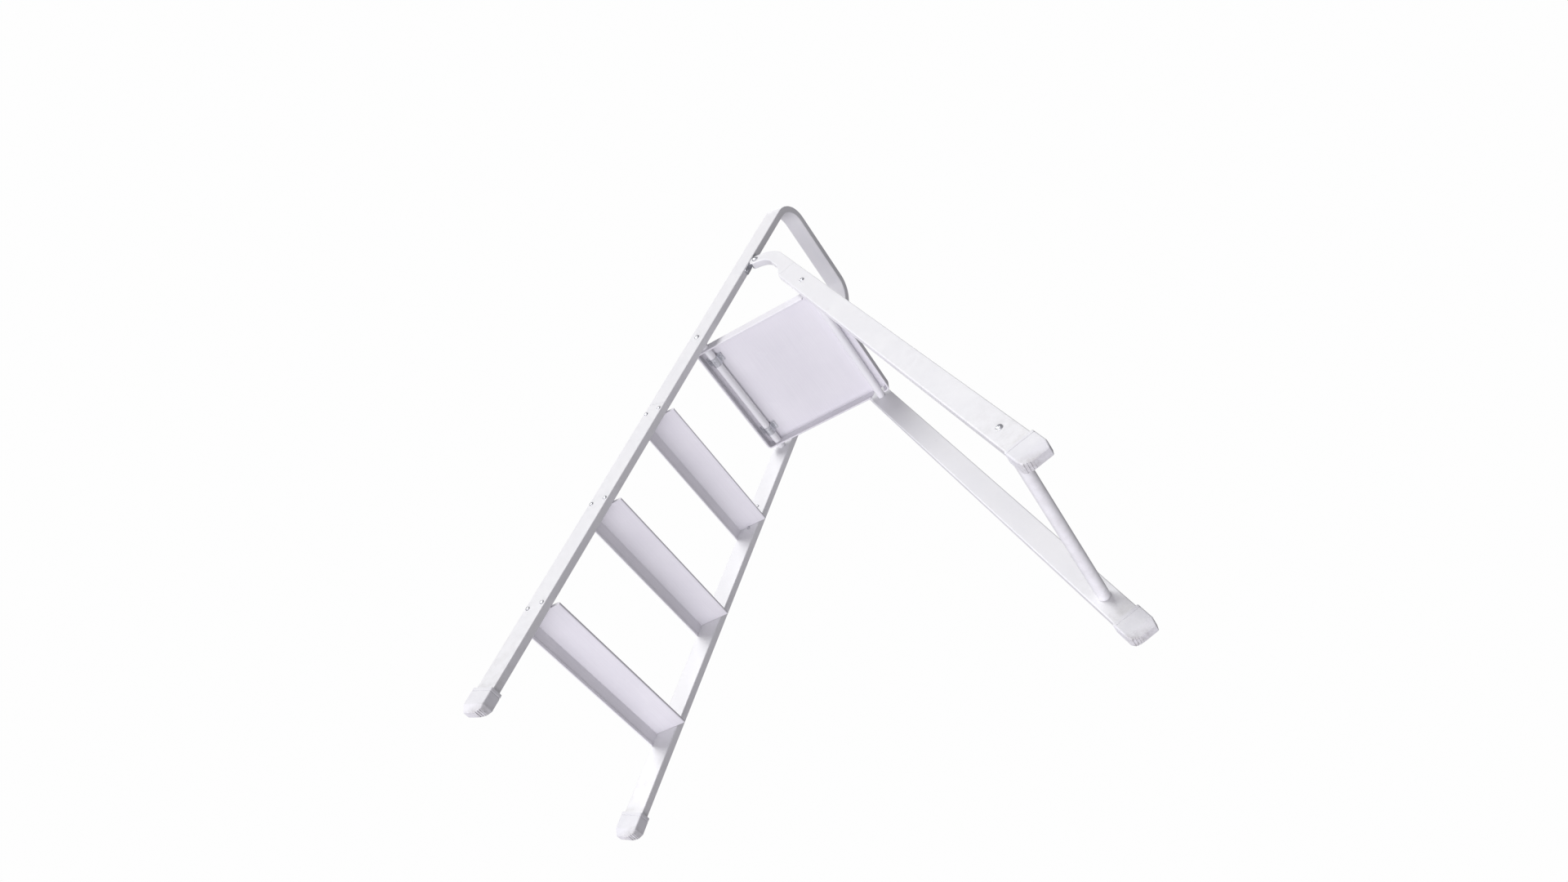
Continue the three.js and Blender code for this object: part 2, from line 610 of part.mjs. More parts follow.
// The arm's side view in (y, z) of the rear plane: a tapered foot, then a bend to the pivot.
// The walls move in by inset, and the end runs past the pivot by overrun, straight on.
function armOutline(inset, start, overrun) {
  const innerY = LEG_DEPTH - ARM_DEPTH;
  const { y, z } = armBendCentre;
  const outer = ARM_BEND + ARM_DEPTH - inset;
  const inner = ARM_BEND + inset;
  const out = [Math.cos(ARM_BEND_ANGLE), Math.sin(ARM_BEND_ANGLE)];
  const on = [-out[1] * overrun, out[0] * overrun];
  const outline = new THREE.Shape();
  outline.moveTo(LEG_DEPTH - inset, start);
  outline.absarc(y, z, outer, 0, ARM_BEND_ANGLE);
  if (overrun) {
    outline.lineTo(y + outer * out[0] + on[0], z + outer * out[1] + on[1]);
    outline.lineTo(y + inner * out[0] + on[0], z + inner * out[1] + on[1]);
  } else {
    outline.absarc(armPivot.y, armPivot.z, ARM_DEPTH / 2, ARM_BEND_ANGLE, ARM_BEND_ANGLE + Math.PI);
  }
  outline.absarc(y, z, inner, ARM_BEND_ANGLE, 0, true);
  outline.lineTo(innerY + inset, ARM_TAPER_END);
  outline.lineTo(inset, start);
  return outline;
}

function makeHingeArm(name, side) {
  const middle = -side * LEG_WIDTH / 2;
  const half = LEG_WIDTH / 2;
  const outside = extrudeAcross(armOutline(0, ARM_START + GAP, 0), middle - half, middle + half);
  const clearance = LEG_WALL + GAP;
  const plugForm = (inset, z0, z1) => extrude(
    roundedRectangle(LEG_WIDTH - 2 * inset, LEG_DEPTH - 2 * inset, LEG_CORNER), z1 - z0)
    .translate(middle, LEG_DEPTH / 2, z0);
  const plugTop = ARM_START + ARM_PLUG_OVERLAP;
  const plug = plugForm(clearance, ARM_START - ARM_SPIGOT, plugTop);
  const plugBore = plugForm(
    clearance + ARM_WALL, ARM_START - ARM_SPIGOT - OVERCUT, plugTop + OVERCUT);
  const bore = extrudeAcross(
    armOutline(ARM_WALL, plugTop - OVERCUT, ARM_OPEN_END),
    middle - half + ARM_WALL, middle + half - ARM_WALL);
  const hollow = cut(join(outside, plug), bore, plugBore);
  const screwMiddle = rearFaceX(side, armScrewAt.y, armScrewAt.z) + middle;
  const drilled = cutInPlace(
    hollow, rearLegs[name],
    ...holesAcross([['', pivot.y, pivot.z]], PIVOT_RADIUS + HOLE_PLAY, side),
    holeFromInside(ARM_SCREW.shank + GAP, screwMiddle, armScrewAt.y, armScrewAt.z));
  place(rearLegs[name], `hinge_arm_${name}`, drilled, WHITE_STEEL);
}

function makeArmScrew(name, side) {
  const screw = fastener(ARM_SCREW.shank, ARM_SCREW.length, ARM_SCREW.head, ARM_SCREW.height);
  const face = rearFaceX(side, armScrewAt.y, armScrewAt.z);
  const innerFace = face - side * (LEG_WIDTH / Math.cos(REAR_LEAN) + 2 * GAP);
  placeFastener(`arm_screw_${name}`, screw, -side, innerFace, armScrewAt.y, armScrewAt.z);
}

// ---------------------------------------------------------------- platform

// A sheet tray, open below. Its side lips turn on the pivot tube and stop ahead of the rear
// tube, on a slant, so that the tube leaves the tray as both fold.
function makePan() {
  const length = PAN_REAR - PAN_FRONT;
  const middle = (PAN_REAR + PAN_FRONT) / 2;
  const bottom = PAN_UNDERSIDE - PAN_LIP;
  const top = PAN_UNDERSIDE + PAN_SHEET;
  const shell = extrude(roundedRectangle(2 * PAN_HALF_WIDTH, length, PAN_CORNER), top - bottom, 6)
    .translate(0, middle, bottom);
  const inside = extrude(
    roundedRectangle(2 * (PAN_HALF_WIDTH - PAN_SHEET), length - 2 * PAN_SHEET, PAN_CORNER - PAN_SHEET),
    PAN_LIP + OVERCUT, 6).translate(0, middle, bottom - OVERCUT);
  const notch = extrudeAcross(polygon([
    [rearTubeAt.y - NOTCH.top, PAN_UNDERSIDE],
    [rearTubeAt.y - NOTCH.middle, TUBE_Z],
    [rearTubeAt.y - NOTCH.bottom, bottom - OVERCUT],
    [rearTubeAt.y + NOTCH.behind, bottom - OVERCUT],
    [rearTubeAt.y + NOTCH.behind, PAN_UNDERSIDE],
  ]), -BEYOND, BEYOND);
  const tubeHole = rodAcross(
    TUBE_RADIUS + HOLE_PLAY, -BEYOND, BEYOND, pivotTubeAt.y, pivotTubeAt.z, 32);
  place(ladder, 'platform_pan', cut(shell, inside, notch, tubeHole), TREAD_METAL);
}

function makePlatformMat() {
  const { inset, base, rib, pitch } = PLATFORM_MAT;
  const length = PAN_REAR - PAN_FRONT - 2 * inset;
  const mat = ribbedMat(length, PAN_HALF_WIDTH - inset, base, rib, pitch);
  place(ladder, 'platform_mat', mat, GRIP_RUBBER,
    [0, PAN_FRONT + inset, PAN_UNDERSIDE + PAN_SHEET + GAP]);
}

// A strap under the pivot tube, with two flanges against the underside of the tray.
function makePivotClip(name, side) {
  const inner = TUBE_RADIUS + HOLE_PLAY;
  const outer = inner + CLIP.sheet;
  const top = PAN_UNDERSIDE - GAP - TUBE_Z;
  const flange = outer + CLIP.flange;
  const outline = new THREE.Shape();
  outline.moveTo(flange, top - CLIP.sheet);
  outline.lineTo(flange, top);
  outline.lineTo(inner, top);
  outline.absarc(0, 0, inner, 0, -Math.PI, true);
  outline.lineTo(-inner, top);
  outline.lineTo(-flange, top);
  outline.lineTo(-flange, top - CLIP.sheet);
  outline.lineTo(-outer, top - CLIP.sheet);
  outline.absarc(0, 0, outer, Math.PI, 2 * Math.PI);
  outline.lineTo(outer, top - CLIP.sheet);
  const x = side * CLIP.x;
  const strap = extrudeAcross(outline, x - CLIP.halfLength, x + CLIP.halfLength)
    .translate(0, pivotTubeAt.y, TUBE_Z);
  place(ladder, `pivot_clip_${name}`, strap, ZINC);
}

// ---------------------------------------------------------------- assembly

for (const [name, side] of SIDES) {
  makeStile(name, side);
  makeHoopSpigot(name, side);
  makeSeamScrews(name, side);
  makeTreadScrews(name, side);
  makeFoot(name, side, 'front', frontLegs[name], FRONT_FOOT);
  makeHingeLug(name, side);
  makeLugRivets(name, side);
  makePivotBolt(name, side);
  makeRearLeg(name, side);
  makeHingeArm(name, side);
  makeArmScrew(name, side);
  makeFoot(name, side, 'rear', rearLegs[name], REAR_FOOT);
  makePivotClip(name, side);
}
makeHoop();
TREAD_UNDERSIDES.forEach((underside, i) => {
  makeTread(i + 1, underside);
  makeTreadMat(i + 1, underside);
});
makeTube('platform_pivot_tube', TUBE_RADIUS, pivotTubeAt, frontFaceX, outsideFront);
makeTubeScrews('pivot_tube_screw', pivotTubeAt, frontFaceX);
makeTube('rear_platform_tube', TUBE_RADIUS, rearTubeAt, rearFaceX, outsideRear);
makeTubeScrews('rear_tube_screw', rearTubeAt, rearFaceX);
makeTube('rear_crossbar', CROSSBAR_RADIUS, crossbarAt, rearFaceX, outsideRear);
makeTubeScrews('crossbar_screw', crossbarAt, rearFaceX);
makePan();
makePlatformMat();

export default ladder;
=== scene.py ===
"""Looks of the folding platform step ladder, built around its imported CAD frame.

Forms are drawn in millimetres, as (points, faces), in the ladder's own frame, and become
pieces in metres. Each piece stands for one CAD node and rides on that node's body.
"""

import json
import math

import bmesh
import bpy
from mathutils import Matrix, Vector


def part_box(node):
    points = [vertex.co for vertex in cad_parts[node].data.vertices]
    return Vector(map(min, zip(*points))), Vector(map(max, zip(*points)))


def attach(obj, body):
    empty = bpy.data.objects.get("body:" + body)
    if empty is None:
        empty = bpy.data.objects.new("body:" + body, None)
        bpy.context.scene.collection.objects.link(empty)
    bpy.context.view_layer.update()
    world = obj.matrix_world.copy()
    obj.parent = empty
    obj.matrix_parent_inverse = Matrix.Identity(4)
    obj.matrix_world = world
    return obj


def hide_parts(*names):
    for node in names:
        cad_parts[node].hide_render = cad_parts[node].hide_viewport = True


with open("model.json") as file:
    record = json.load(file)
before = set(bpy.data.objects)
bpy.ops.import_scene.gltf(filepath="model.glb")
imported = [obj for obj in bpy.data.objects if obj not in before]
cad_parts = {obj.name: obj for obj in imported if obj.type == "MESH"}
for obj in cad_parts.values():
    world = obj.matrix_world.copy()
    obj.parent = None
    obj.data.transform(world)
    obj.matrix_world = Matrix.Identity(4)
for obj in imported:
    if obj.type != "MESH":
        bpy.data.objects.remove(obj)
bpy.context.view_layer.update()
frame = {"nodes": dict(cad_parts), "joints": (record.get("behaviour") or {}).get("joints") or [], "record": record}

MM = 0.001
GAP = 0.3  # between pieces that touch, in mm
SIDES = (("left", -1), ("right", 1))
RECORD = frame["record"]
BODY_OF = {n: body for body, nodes in RECORD["behaviour"]["bodies"].items() for n in nodes}

# ------------------------------------------------------------------ driving dimensions, mm

SLOPE = math.radians(22.5)
TUBE_WIDTH, TUBE_DEPTH, TUBE_CORNER, TUBE_CHAMFER = 18, 50, 2.6, 0.6
# For each pair of legs: where the plane of their front faces meets the floor, half their width
# there, and how far each one leans inwards.
FRONT_FLOOR_Y, FRONT_HALF, FRONT_LEAN = -568.67, 233.4, math.radians(1.878)
REAR_FLOOR_Y, REAR_HALF, REAR_LEAN = 514.63, 228.3, math.radians(1.656)
SEAM, HOOP_TOP, HOOP_BEND = 817, 1639, 60  # two places up the front plane, and an inner radius
TREAD_THICK, TREAD_LIP, TREAD_OVERHANG, LIP_THICK = 7, 26, 19.3, 2
HEM = (1.3, 5)  # the fold along the bottom of a tread's lip: how thick and how high
FOOT_WIDTH, FOOT_DEPTH, FOOT_BEVEL, FOOT_INSET, FOOT_POCKET = 27, 56, 14, 6, 30
FOOT_SIZES = {"front": (64.4, 49.5), "rear": (48, 53.7)}  # the rim's place up the leg, and height
PAN_SHEET, PAN_CORNER, PAN_SHOULDER, PAN_BEAD, PAN_UNDERSIDE = 2, 10, 4, 2.4, 969
# How far ahead of the rear tube's axis the pan's side lips stop, at three heights, and how far
# behind it the opening ends.
NOTCH_TOP, NOTCH_MIDDLE, NOTCH_BOTTOM, NOTCH_BEHIND = 10.7, 12.7, 22.7, 15
CROSS_TUBE_Z, CROSS_TUBE_RADIUS, CROSSBAR_RADIUS = 959, 9.5, 12
ARM_DEPTH, ARM_WALL, ARM_BEND, ARM_ANGLE = 34, 1.6, 70, math.radians(55.3)
ARM_START, ARM_TAPER_END, ARM_BEND_START = 1137, 1187, 1240  # up the rear leg
ARM_BORE_START, ARM_BORE_OVERRUN = 10, 30  # above the arm's start, and past its pivot
LUG_THICK, LUG_NECK, LUG_PLATE = 10, 9, (15, 2, 74)  # the plate's width, thickness and length
LUG_RIVET_OFFSETS = (("lower", -29), ("upper", 29))  # up the plate, from the pivot
PIVOT_RADIUS = 4
RUNNING_FIT = 0.4  # round a tube that turns in its hole
FIXING_SHARP = 28  # degrees at which a fixing's faces meet in a crease
TREAD_MAT_SIZES, PLATFORM_MAT_SIZES = (1.2, 6.4), (2.6, 11)  # base thickness, rib pitch

# ------------------------------------------------------------------ camera

scene = bpy.context.scene
camera = bpy.data.objects.new("camera", bpy.data.cameras.new("camera"))
scene.collection.objects.link(camera)
camera.data.lens = 24.976
camera.data.sensor_width = 36
scene.camera = camera

# It stands behind and beside the ladder, below the floor, and looks up at a point in metres.
LOOKS_AT, DISTANCE = Vector((0, -0.0286, 0.6950)), 2.4235
HEADING, RISE, ROLL = (math.radians(a) for a in (211.233, 52.810, -0.730))
turn = (Matrix.Rotation(HEADING - math.pi / 2, 4, "Z") @ Matrix.Rotation(math.pi / 2 + RISE, 4, "X")
        @ Matrix.Rotation(ROLL, 4, "Z"))
camera.matrix_world = Matrix.Translation(LOOKS_AT) @ turn @ Matrix.Translation((0, 0, DISTANCE))

# ------------------------------------------------------------------ leaning frames


def plane_frame(floor_y, slope):
    """The plane of two legs: X across, Y through their depth, Z up along them from the floor."""
    return Matrix.Translation((0, floor_y, 0)) @ Matrix.Rotation(slope, 4, "X")


def leg_frame(plane, half, lean, side):
    """One leg's own frame, with X = 0 on its outer face."""
    return plane @ Matrix.Translation((side * half, 0, 0)) @ Matrix.Rotation(-side * lean, 4, "Y")


FRONT = plane_frame(FRONT_FLOOR_Y, -SLOPE)
REAR = plane_frame(REAR_FLOOR_Y, SLOPE)
FRONT_LEG = {n: leg_frame(FRONT, FRONT_HALF, FRONT_LEAN, s) for n, s in SIDES}
REAR_LEG = {n: leg_frame(REAR, REAR_HALF, REAR_LEAN, s) for n, s in SIDES}


def inner_x(plane, half, lean, y, z):
    """Half the clear width between two legs at a point of the ladder's own frame."""
    along = (plane.inverted() @ Vector((0, y, z))).z
    return half - along * math.tan(lean) - TUBE_WIDTH / math.cos(lean)


def front_inner_x(y, z):
    return inner_x(FRONT, FRONT_HALF, FRONT_LEAN, y, z)


def rear_inner_x(y, z):
    return inner_x(REAR, REAR_HALF, REAR_LEAN, y, z)


def node_box(node):
    low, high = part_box(node)
    return low / MM, high / MM


def node_centre(node):
    low, high = node_box(node)
    return (low + high) / 2


PIVOT = Vector(next(j for j in frame["joints"] if j["name"] == "rear_frame_fold")["pos_m"]) / MM


# ------------------------------------------------------------------ forms


def rounded_rectangle(width, depth, radius, n=4):
    """An outline round the origin, with n steps in each corner."""
    points = []
    for k, (sx, sy) in enumerate(((1, 1), (-1, 1), (-1, -1), (1, -1))):
        for i in range(n + 1):
            a = (k + i / n) * math.pi / 2
            points.append((sx * (width / 2 - radius) + radius * math.cos(a),
                           sy * (depth / 2 - radius) + radius * math.sin(a)))
    return points


def filleted(corners, n=5):
    """An outline from (u, v, radius) corners, each rounded to its radius."""
    outline = []
    for i, (u, v, radius) in enumerate(corners):
        corner = Vector((u, v))
        back = (Vector(corners[i - 1][:2]) - corner).normalized()
        on = (Vector(corners[(i + 1) % len(corners)][:2]) - corner).normalized()
        half = back.angle(on) / 2
        centre = corner + (back + on).normalized() * radius / math.sin(half)
        start = corner + back * radius / math.tan(half) - centre
        end = corner + on * radius / math.tan(half) - centre
        angle = math.atan2(start.x * end.y - start.y * end.x, start.dot(end))
        for k in range(n + 1):
            outline.append(centre + Matrix.Rotation(angle * k / n, 2) @ start)
    return outline


def arc(centre, radius, start, end, n):
    return [(centre[0] + radius * math.cos(start + (end - start) * k / n),
             centre[1] + radius * math.sin(start + (end - start) * k / n)) for k in range(n + 1)]


def loft(rings):
    """A closed form through rings of equal length, with a flat cap at each end."""
    n = len(rings[0])
    points = [Vector(p) for ring in rings for p in ring]
    faces = []
    for k in range(len(rings) - 1):
        a, b = k * n, (k + 1) * n
        faces += [(a + i, a + (i + 1) % n, b + (i + 1) % n, b + i) for i in range(n)]
    faces += [tuple(reversed(range(n))), tuple(range(len(points) - n, len(points)))]
    return points, faces


def placed(form, matrix):
    return [matrix @ p for p in form[0]], form[1]


def together(*forms):
    points, faces = [], []
    for more_points, more_faces in forms:
        faces += [tuple(i + len(points) for i in face) for face in more_faces]
        points += more_points
    return points, faces


def lathed(profile, segments=32):
    """A profile of (radius, height) turned about Z."""
    turns = [2 * math.pi * k / segments for k in range(segments)]
    return loft([[(r * math.cos(a), r * math.sin(a), h) for a in turns] for r, h in profile])


def prism(outline, x0, x1):
    """An outline in (y, z), from x0 to x1."""
    return loft([[(x, u, v) for u, v in outline] for x in (x0, x1)])


def block(x0, x1, y0, y1, z0, z1):
    return prism(((y0, z0), (y1, z0), (y1, z1), (y0, z1)), x0, x1)


def soft_slab(outline_at, x0, x1, radius, n=4):
    """A slab across X whose rim is rounded; outline_at(inset) gives its outline in (y, z)."""
    rim = []
    for k in range(n, -1, -1):
        a = k / n * math.pi / 2
        rim.append((radius * (1 - math.sin(a)), radius * (1 - math.cos(a))))
    rings = [(x0 + back, inset) for back, inset in rim]
    rings += [(x1 - back, inset) for back, inset in reversed(rim)]
    return loft([[(x, u, v) for u, v in outline_at(inset)] for x, inset in rings])


def mesh_of(form, scale=1):
    mesh = bpy.data.meshes.new("form")
    build = bmesh.new()
    points = [build.verts.new(p * scale) for p in form[0]]
    for face in form[1]:
        build.faces.new([points[i] for i in face])
    bmesh.ops.recalc_face_normals(build, faces=build.faces)
    build.to_mesh(mesh)
    build.free()
    return mesh


def carved(form, *tools, operation="DIFFERENCE"):
    """The form with the tools cut away, or kept only where they are."""
    objects = [bpy.data.objects.new("blank", mesh_of(f)) for f in (form, *tools)]
    for o in objects:
        scene.collection.objects.link(o)
    for tool in objects[1:]:
        step = objects[0].modifiers.new("cut", "BOOLEAN")
        step.object = tool
        step.operation = operation
        step.solver = "EXACT"
    graph = bpy.context.evaluated_depsgraph_get()
    result = bpy.data.meshes.new_from_object(objects[0].evaluated_get(graph))
    made = [v.co.copy() for v in result.vertices], [tuple(p.vertices) for p in result.polygons]
    for o in objects:
        bpy.data.meshes.remove(o.data)
    bpy.data.meshes.remove(result)
    return made


def above_floor(form):
    """The form cut level with the floor."""
    mesh = mesh_of(form)
    build = bmesh.new()
    build.from_mesh(mesh)
    whole = build.verts[:] + build.edges[:] + build.faces[:]
    cut = bmesh.ops.bisect_plane(build, geom=whole, plane_co=(0, 0, 0), plane_no=(0, 0, 1),
                                 clear_inner=True)
    rim = [e for e in cut["geom_cut"] if isinstance(e, bmesh.types.BMEdge)]
    bmesh.ops.contextual_create(build, geom=rim)
    build.verts.index_update()
    points = [v.co.copy() for v in build.verts]
    faces = [tuple(v.index for v in f.verts) for f in build.faces]
    build.free()
    bpy.data.meshes.remove(mesh)
    return points, faces


# ------------------------------------------------------------------ materials


class Shader:
    """Builds one node material around a Principled shader."""

    def __init__(self, name, metallic=0.0, specular=0.5, coat=0.0):
        self.material = bpy.data.materials.new(name)
        self.material.use_nodes = True
        self.tree = self.material.node_tree
        self.surface = self.tree.nodes["Principled BSDF"]
        self.surface.inputs["Metallic"].default_value = metallic
        self.surface.inputs["Specular IOR Level"].default_value = specular
        self.surface.inputs["Coat Weight"].default_value = coat
        self.surface.inputs["Coat Roughness"].default_value = 0.25
        self.place = self.tree.nodes.new("ShaderNodeTexCoord").outputs["Object"]
        self.normal = None

    def node(self, kind, inputs, **settings):
        made = self.tree.nodes.new(kind)
        for key, value in settings.items():
            setattr(made, key, value)
        for key, value in inputs.items():
            socket = made.inputs[key]
            if isinstance(value, bpy.types.NodeSocket):
                self.tree.links.new(value, socket)
            else:
                socket.default_value = value
        return made

    def stretched(self, scale):
        return self.node("ShaderNodeMapping", {"Vector": self.place, "Scale": scale}).outputs[0]

    def noise(self, scale, detail=3, stretch=None, roughness=0.5):
        where = self.stretched(stretch) if stretch else self.place
        return self.node("ShaderNodeTexNoise", {
            "Vector": where, "Scale": scale, "Detail": detail, "Roughness": roughness,
        }).outputs["Fac"]

    def cells(self, scale):
        inputs = {"Vector": self.place, "Scale": scale}
        return self.node("ShaderNodeTexVoronoi", inputs).outputs["Distance"]

    def ranged(self, value, low, high, out_low=0.0, out_high=1.0):
        return self.node("ShaderNodeMapRange", {
            "Value": value, "From Min": low, "From Max": high,
            "To Min": out_low, "To Max": out_high,
        }).outputs["Result"]

    def product(self, a, b):
        return self.node("ShaderNodeMath", {0: a, 1: b}, operation="MULTIPLY").outputs[0]

    def height(self):
        return self.node("ShaderNodeSeparateXYZ", {"Vector": self.place}).outputs["Z"]

    def blend(self, factor, first, second):
        made = self.node("ShaderNodeMix", {"Factor": factor}, data_type="RGBA")
        for socket, value in ((made.inputs[6], first), (made.inputs[7], second)):
            if isinstance(value, bpy.types.NodeSocket):
                self.tree.links.new(value, socket)
            else:
                socket.default_value = (*value, 1)
        return made.outputs[2]

    def bump(self, value, distance, strength=1.0):
        inputs = {"Height": value, "Distance": distance, "Strength": strength}
        if self.normal is not None:
            inputs["Normal"] = self.normal
        self.normal = self.node("ShaderNodeBump", inputs).outputs["Normal"]

    def done(self, colour, roughness):
        for socket, value in (("Base Color", colour), ("Roughness", roughness), ("Normal", self.normal)):
            self.tree.links.new(value, self.surface.inputs[socket])
        return self.material


def powder_coat():
    """White powder coat: fine orange peel, a little grime near the floor, a few long scuffs."""
    s = Shader("powder_coat_white", specular=0.5, coat=0.15)
    tone = s.blend(s.ranged(s.noise(9, 4), 0.35, 0.7), (0.855, 0.857, 0.875), (0.885, 0.885, 0.895))
    scuff = s.ranged(s.noise(30, 5, (6, 1, 0.5), 0.65), 0.67, 0.74)
    grime = s.product(s.ranged(s.height(), 0.22, 0.03), s.ranged(s.noise(45, 6, None, 0.7), 0.45, 0.75))
    worn = s.blend(s.product(scuff, 0.35), tone, (0.66, 0.66, 0.68))
    colour = s.blend(s.product(grime, 0.45), worn, (0.50, 0.48, 0.46))
    s.bump(s.noise(650, 2), 0.00030, 0.55)
    s.bump(s.noise(150, 2), 0.00040, 0.30)
    s.bump(scuff, -0.00010, 0.4)
    return s.done(colour, s.ranged(s.noise(60, 4), 0.3, 0.7, 0.30, 0.48))


def tread_coat():
    """Near-white cool coat on rolled sheet, with the faint lines of the rolling along X."""
    s = Shader("tread_coat", metallic=0.05, specular=0.45)
    tone = s.blend(s.ranged(s.noise(12, 4), 0.3, 0.7), (0.80, 0.79, 0.825), (0.84, 0.83, 0.86))
    lines = s.noise(420, 3, (0.02, 1, 1), 0.6)
    rub = s.ranged(s.noise(22, 5, None, 0.65), 0.62, 0.72)
    streaked = s.blend(s.ranged(lines, 0.35, 0.75, 0.0, 0.35), tone, (0.72, 0.71, 0.75))
    colour = s.blend(s.product(rub, 0.3), streaked, (0.87, 0.865, 0.89))
    s.bump(lines, 0.00012, 0.5)
    s.bump(s.noise(700, 2), 0.00010, 0.3)
    return s.done(colour, s.ranged(lines, 0.3, 0.7, 0.38, 0.56))


def grip_rubber():
    """Matt ribbed rubber, dusty in its grooves."""
    s = Shader("grip_rubber", specular=0.3)
    dust = s.ranged(s.noise(35, 6, None, 0.7), 0.45, 0.72)
    colour = s.blend(s.product(dust, 0.5), (0.30, 0.29, 0.33), (0.45, 0.44, 0.47))
    s.bump(s.cells(1400), 0.00012, 0.6)
    s.bump(s.noise(240, 4), 0.00015, 0.35)
    return s.done(colour, s.ranged(dust, 0, 1, 0.72, 0.92))


def boot_plastic():
    """Moulded off-white plastic: fine spark grain, scuffed and grey towards the sole."""
    s = Shader("boot_plastic", specular=0.45)
    tone = s.blend(s.ranged(s.noise(40, 4), 0.3, 0.7), (0.78, 0.78, 0.81), (0.84, 0.84, 0.86))
    dirt = s.product(s.ranged(s.height(), 0.016, 0.0), s.ranged(s.noise(130, 6, None, 0.7), 0.3, 0.65))
    scratch = s.ranged(s.noise(110, 4, (1, 1, 0.15), 0.6), 0.66, 0.74)
    scuffed = s.blend(s.product(scratch, 0.35), tone, (0.60, 0.60, 0.62))
    colour = s.blend(s.product(dirt, 0.65), scuffed, (0.36, 0.345, 0.33))
    s.bump(s.cells(1700), 0.00010, 0.6)
    s.bump(s.noise(420, 3), 0.00010, 0.4)
    return s.done(colour, s.ranged(s.noise(80, 4), 0.3, 0.7, 0.5, 0.68))


def zinc_plate():
    """Bright zinc plating with cloudy patches and a fine grain."""
    s = Shader("zinc_plate", metallic=0.95)
    patches = s.ranged(s.noise(160, 4, None, 0.6), 0.35, 0.7)
    colour = s.blend(patches, (0.56, 0.57, 0.60), (0.72, 0.73, 0.75))
    s.bump(s.noise(1500, 2), 0.00006, 0.5)
    return s.done(colour, s.ranged(patches, 0, 1, 0.26, 0.42))


LOOKS = {
    "white_frame": powder_coat(),
    "tread_metal": tread_coat(),
    "grip_rubber": grip_rubber(),
    "foot_plastic": boot_plastic(),
    "zinc": zinc_plate(),
}

# ------------------------------------------------------------------ pieces


def piece(node, form, slot, sharp=32, edge=0.0):
    """A finished piece that stands for one CAD node."""
    mesh = mesh_of(form, MM)
    mesh.polygons.foreach_set("use_smooth", [True] * len(mesh.polygons))
    mesh.set_sharp_from_angle(angle=math.radians(sharp))
    mesh.materials.append(LOOKS[slot])
    made = bpy.data.objects.new(f"{node}_look", mesh)
    scene.collection.objects.link(made)
    if edge:
        bevel = made.modifiers.new("edges", "BEVEL")
        bevel.width = edge * MM
        bevel.segments = 2
        bevel.limit_method = "ANGLE"
        bevel.angle_limit = math.radians(sharp)
        bevel.harden_normals = True
    made.modifiers.new("shading", "WEIGHTED_NORMAL").keep_sharp = True
    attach(made, BODY_OF[node])
    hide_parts(node)
    return made


def tube_section(inset=0):
    return rounded_rectangle(TUBE_WIDTH - 2 * inset, TUBE_DEPTH - 2 * inset, TUBE_CORNER)


def on_leg(leg, side, section, z):
    """A section in (x, y) round a leg's middle line, at a height along it."""
    return [leg @ Vector((x - side * TUBE_WIDTH / 2, y + TUBE_DEPTH / 2, z)) for x, y in section]


def leg_tube(leg, side, start, end):
    """A flat-sided tube with a small chamfer at each end."""
    ends = ((start, TUBE_CHAMFER), (start + TUBE_CHAMFER, 0), (end - TUBE_CHAMFER, 0), (end, TUBE_CHAMFER))
    return loft([on_leg(leg, side, tube_section(inset), z) for z, inset in ends])


def hoop_path():
    """The middle line of the hoop: (x, z, direction across the tube) in the front plane."""
    def straight(side, along):
        x = FRONT_HALF - along * math.sin(FRONT_LEAN) - TUBE_WIDTH / 2 * math.cos(FRONT_LEAN)
        z = along * math.cos(FRONT_LEAN) - TUBE_WIDTH / 2 * math.sin(FRONT_LEAN)
        return side * x, z, (side * math.cos(FRONT_LEAN), math.sin(FRONT_LEAN))

    middle = HOOP_BEND + TUBE_WIDTH / 2
    centre_z = HOOP_TOP - HOOP_BEND - TUBE_WIDTH
    centre_x = (FRONT_HALF - centre_z * math.tan(FRONT_LEAN)
                - (HOOP_BEND + TUBE_WIDTH) / math.cos(FRONT_LEAN))
    steps = 28
    seam, chamfered = SEAM + GAP, SEAM + GAP + TUBE_CHAMFER
    path = [straight(1, seam), straight(1, chamfered)]
    for k in range(steps + 1):
        a = FRONT_LEAN + (math.pi / 2 - FRONT_LEAN) * k / steps
        path.append((centre_x + middle * math.cos(a), centre_z + middle * math.sin(a),
                     (math.cos(a), math.sin(a))))
    for x, z, (u, w) in reversed(path[2:]):
        path.append((-x, z, (-u, w)))
    return path + [straight(-1, chamfered), straight(-1, seam)]


def hoop():
    """The tube section swept along the hoop's path, chamfered at both ends."""
    path = hoop_path()
    rings = []
    for k, (x, z, (u, w)) in enumerate(path):
        section = tube_section(TUBE_CHAMFER if k in (0, len(path) - 1) else 0)
        rings.append([FRONT @ Vector((x + u * a, TUBE_DEPTH / 2 + b, z + w * a)) for a, b in section])
    return loft(rings)


